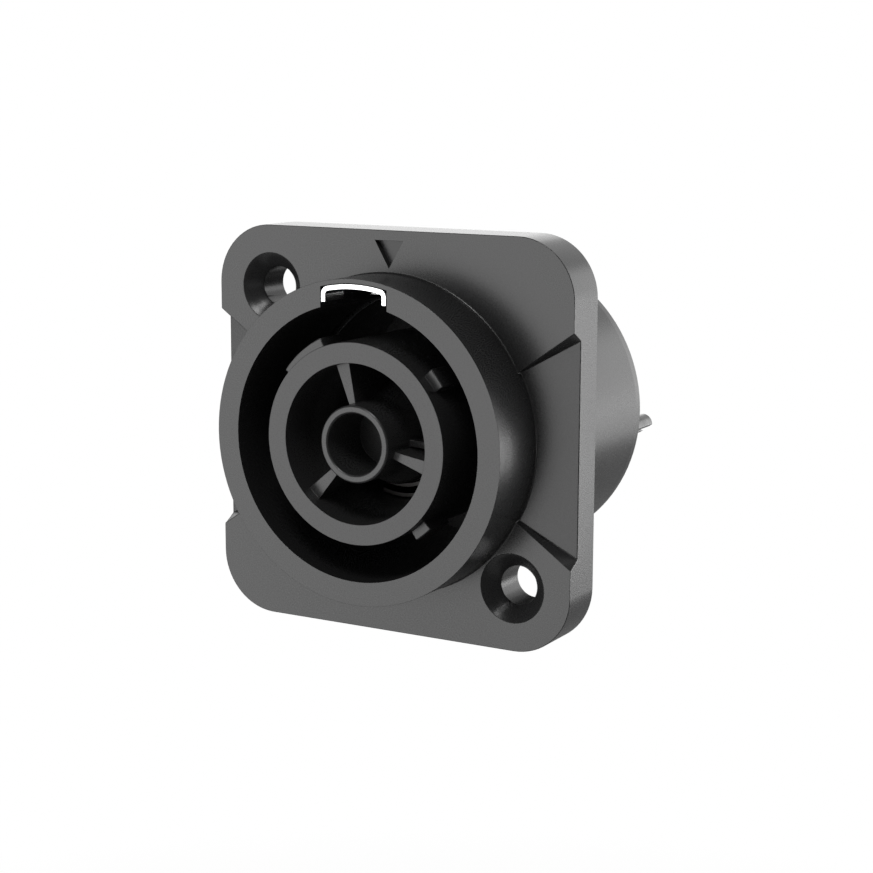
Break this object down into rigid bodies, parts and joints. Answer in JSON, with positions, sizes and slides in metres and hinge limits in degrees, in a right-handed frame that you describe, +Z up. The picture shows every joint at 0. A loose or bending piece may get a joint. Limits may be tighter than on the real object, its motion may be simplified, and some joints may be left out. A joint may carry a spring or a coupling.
{
  "type": "chassis power connector",
  "caption": "Square-flanged chassis power connector with a round collar, keyed inner ring, latch plate and rear solder terminals.",
  "frame": {"origin": "on the connector's axis, in the plane of the flange's back face, which lies on the panel", "axes": "-Y along the axis, out of the front; +Z up, towards the latch notch; +X to the right seen from the front"},
  "size_m": [0.038, 0.0391, 0.038],
  "materials": {
    "housing_plastic": "fine satin moulding",
    "carrier_plastic": "fine satin moulding",
    "latch_steel": "bright spring steel",
    "contact_plating": "silver-plated brass",
    "terminal_plating": "tin-plated brass"
  },
  "bodies": {
    "root": {"housing": "housing_plastic", "contact_carrier": "carrier_plastic", "rear_insulator": "carrier_plastic", "latch_plate": "latch_steel", "line_contact": "contact_plating", "line_terminal": "terminal_plating", "neutral_contact": "contact_plating", "neutral_terminal": "terminal_plating", "earth_contact": "contact_plating", "earth_terminal": "terminal_plating"}
  },
  "joints": []
}
